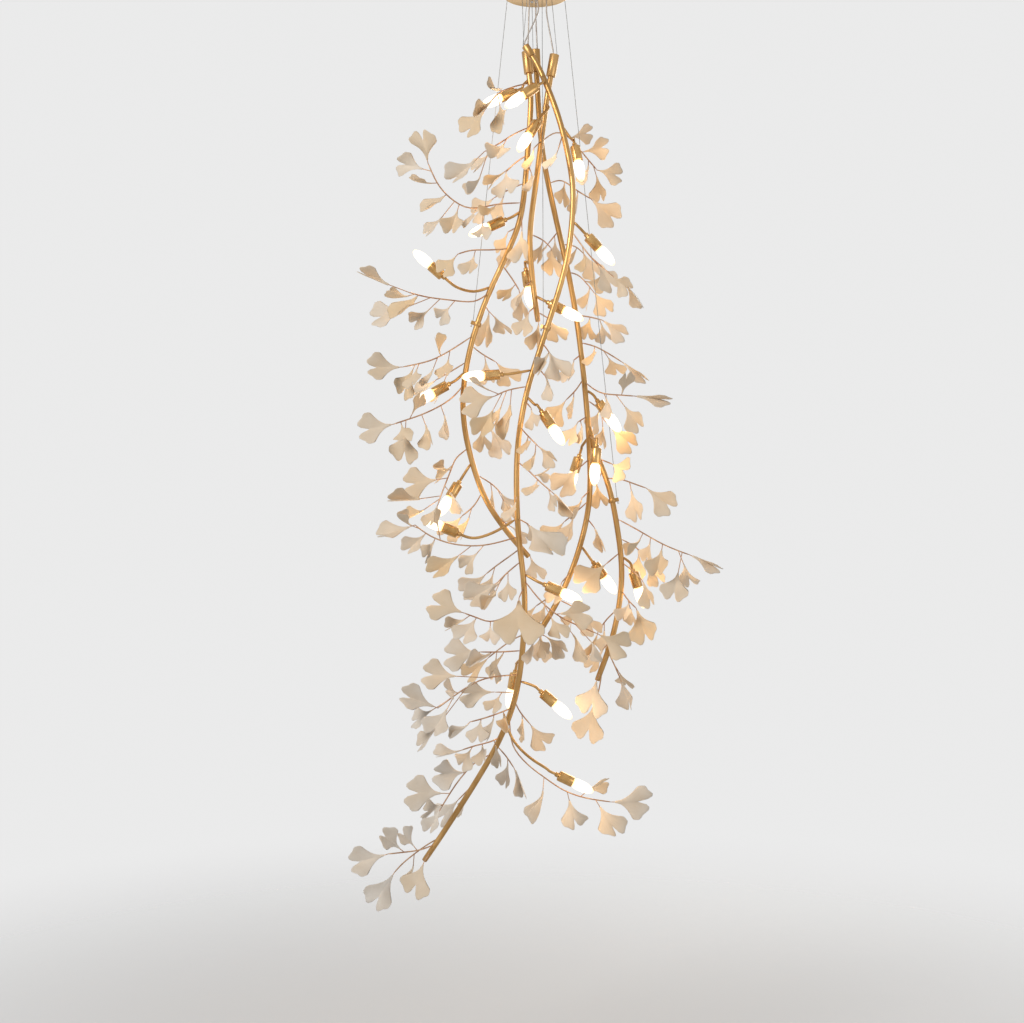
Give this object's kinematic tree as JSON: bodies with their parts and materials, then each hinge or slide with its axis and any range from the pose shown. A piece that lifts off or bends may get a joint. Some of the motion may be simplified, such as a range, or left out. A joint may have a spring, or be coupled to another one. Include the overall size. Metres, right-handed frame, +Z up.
{
  "type": "ceramic chandelier",
  "caption": "Tall cascading pendant chandelier: curved brass stems on wires below a round canopy, with thin twigs of porcelain ginkgo leaves and frosted pin lamps in slim brass cups.",
  "frame": {"origin": "middle of the ceiling plate's top face, in the ceiling's plane", "axes": "+Z up into the ceiling, +X to the right as pictured, +Y away from the viewer"},
  "size_m": [0.7811, 0.3132, 1.9775],
  "materials": {
    "brushed_brass": "brushed",
    "twig_brass": "satin, warm copper tone",
    "steel": "plain",
    "terminal_plastic": "matte",
    "gland_plastic": "matte",
    "cord_plastic": "clear jacket over a pale core",
    "porcelain": "matt bisque",
    "holder_ceramic": "matt",
    "frosted_glass": "frosted, lit"
  },
  "bodies": {
    "chandelier": {"ceiling_plate": "steel", "canopy": "brushed_brass", "canopy_screws": "brushed_brass", "terminal_block": "terminal_plastic", "cord_glands": "gland_plastic", "wire_grippers": "steel", "suspension_wires": "steel", "wire_clamps": "brushed_brass", "wire_stops": "steel", "power_cords": "cord_plastic", "stem_caps": "brushed_brass", "front_stem": "brushed_brass", "left_stem": "brushed_brass", "middle_stem": "brushed_brass", "right_stem": "brushed_brass", "lower_branch": "brushed_brass", "front_twigs": "twig_brass", "left_twigs": "twig_brass", "middle_twigs": "twig_brass", "right_twigs": "twig_brass", "branch_twigs": "twig_brass", "front_leaves": "porcelain", "left_leaves": "porcelain", "middle_leaves": "porcelain", "right_leaves": "porcelain", "branch_leaves": "porcelain", "leaf_stalks": "twig_brass", "lamp_arms": "twig_brass", "lamp_cups": "brushed_brass", "lamp_holders": "holder_ceramic"},
    "lamp_01": {"bulb_01": "frosted_glass"},
    "lamp_02": {"bulb_02": "frosted_glass"},
    "lamp_03": {"bulb_03": "frosted_glass"},
    "lamp_04": {"bulb_04": "frosted_glass"},
    "lamp_05": {"bulb_05": "frosted_glass"},
    "lamp_06": {"bulb_06": "frosted_glass"},
    "lamp_07": {"bulb_07": "frosted_glass"},
    "lamp_08": {"bulb_08": "frosted_glass"},
    "lamp_09": {"bulb_09": "frosted_glass"},
    "lamp_10": {"bulb_10": "frosted_glass"},
    "lamp_11": {"bulb_11": "frosted_glass"},
    "lamp_12": {"bulb_12": "frosted_glass"},
    "lamp_13": {"bulb_13": "frosted_glass"},
    "lamp_14": {"bulb_14": "frosted_glass"},
    "lamp_15": {"bulb_15": "frosted_glass"},
    "lamp_16": {"bulb_16": "frosted_glass"},
    "lamp_17": {"bulb_17": "frosted_glass"},
    "lamp_18": {"bulb_18": "frosted_glass"},
    "lamp_19": {"bulb_19": "frosted_glass"},
    "lamp_20": {"bulb_20": "frosted_glass"},
    "lamp_21": {"bulb_21": "frosted_glass"},
    "lamp_22": {"bulb_22": "frosted_glass"},
    "lamp_23": {"bulb_23": "frosted_glass"}
  },
  "joints": [
    {"name": "bulb_01_pull", "type": "slide", "parent": "chandelier", "child": "lamp_01", "axis": [-0.8372, -0.3031, -0.4551], "range_m": [0, 0.03]},
    {"name": "bulb_02_pull", "type": "slide", "parent": "chandelier", "child": "lamp_02", "axis": [-0.7903, -0.1919, -0.5818], "range_m": [0, 0.03]},
    {"name": "bulb_03_pull", "type": "slide", "parent": "chandelier", "child": "lamp_03", "axis": [-0.4954, -0.2589, -0.8292], "range_m": [0, 0.03]},
    {"name": "bulb_04_pull", "type": "slide", "parent": "chandelier", "child": "lamp_04", "axis": [-0.9025, -0.1243, -0.4124], "range_m": [0, 0.03]},
    {"name": "bulb_05_pull", "type": "slide", "parent": "chandelier", "child": "lamp_05", "axis": [-0.7546, -0.0457, 0.6547], "range_m": [0, 0.03]},
    {"name": "bulb_06_pull", "type": "slide", "parent": "chandelier", "child": "lamp_06", "axis": [0.691, 0.0949, -0.7166], "range_m": [0, 0.03]},
    {"name": "bulb_07_pull", "type": "slide", "parent": "chandelier", "child": "lamp_07", "axis": [0.1715, -0.2172, -0.9609], "range_m": [0, 0.03]},
    {"name": "bulb_08_pull", "type": "slide", "parent": "chandelier", "child": "lamp_08", "axis": [0.8766, -0.1398, -0.4605], "range_m": [0, 0.03]},
    {"name": "bulb_09_pull", "type": "slide", "parent": "chandelier", "child": "lamp_09", "axis": [0.1339, 0.0622, -0.989], "range_m": [0, 0.03]},
    {"name": "bulb_10_pull", "type": "slide", "parent": "chandelier", "child": "lamp_10", "axis": [-0.987, -0.1372, -0.0837], "range_m": [0, 0.03]},
    {"name": "bulb_11_pull", "type": "slide", "parent": "chandelier", "child": "lamp_11", "axis": [-0.8589, -0.1387, -0.4929], "range_m": [0, 0.03]},
    {"name": "bulb_12_pull", "type": "slide", "parent": "chandelier", "child": "lamp_12", "axis": [0.5465, -0.1069, -0.8306], "range_m": [0, 0.03]},
    {"name": "bulb_13_pull", "type": "slide", "parent": "chandelier", "child": "lamp_13", "axis": [0.5904, 0.1256, -0.7973], "range_m": [0, 0.03]},
    {"name": "bulb_14_pull", "type": "slide", "parent": "chandelier", "child": "lamp_14", "axis": [-0.5118, -0.135, -0.8484], "range_m": [0, 0.03]},
    {"name": "bulb_15_pull", "type": "slide", "parent": "chandelier", "child": "lamp_15", "axis": [-0.9285, 0, 0.3714], "range_m": [0, 0.03]},
    {"name": "bulb_16_pull", "type": "slide", "parent": "chandelier", "child": "lamp_16", "axis": [-0.2929, 0.1106, -0.9497], "range_m": [0, 0.03]},
    {"name": "bulb_17_pull", "type": "slide", "parent": "chandelier", "child": "lamp_17", "axis": [-0.0686, -0.1182, -0.9906], "range_m": [0, 0.03]},
    {"name": "bulb_18_pull", "type": "slide", "parent": "chandelier", "child": "lamp_18", "axis": [0.9096, -0.0893, -0.4057], "range_m": [0, 0.03]},
    {"name": "bulb_19_pull", "type": "slide", "parent": "chandelier", "child": "lamp_19", "axis": [0.5839, 0.1953, -0.788], "range_m": [0, 0.03]},
    {"name": "bulb_20_pull", "type": "slide", "parent": "chandelier", "child": "lamp_20", "axis": [0.2954, 0.0781, -0.9522], "range_m": [0, 0.03]},
    {"name": "bulb_21_pull", "type": "slide", "parent": "chandelier", "child": "lamp_21", "axis": [-0.1654, 0.2104, -0.9635], "range_m": [0, 0.03]},
    {"name": "bulb_22_pull", "type": "slide", "parent": "chandelier", "child": "lamp_22", "axis": [0.7543, -0.0921, -0.65], "range_m": [0, 0.03]},
    {"name": "bulb_23_pull", "type": "slide", "parent": "chandelier", "child": "lamp_23", "axis": [0.9037, 0, -0.4281], "range_m": [0, 0.03]}
  ]
}
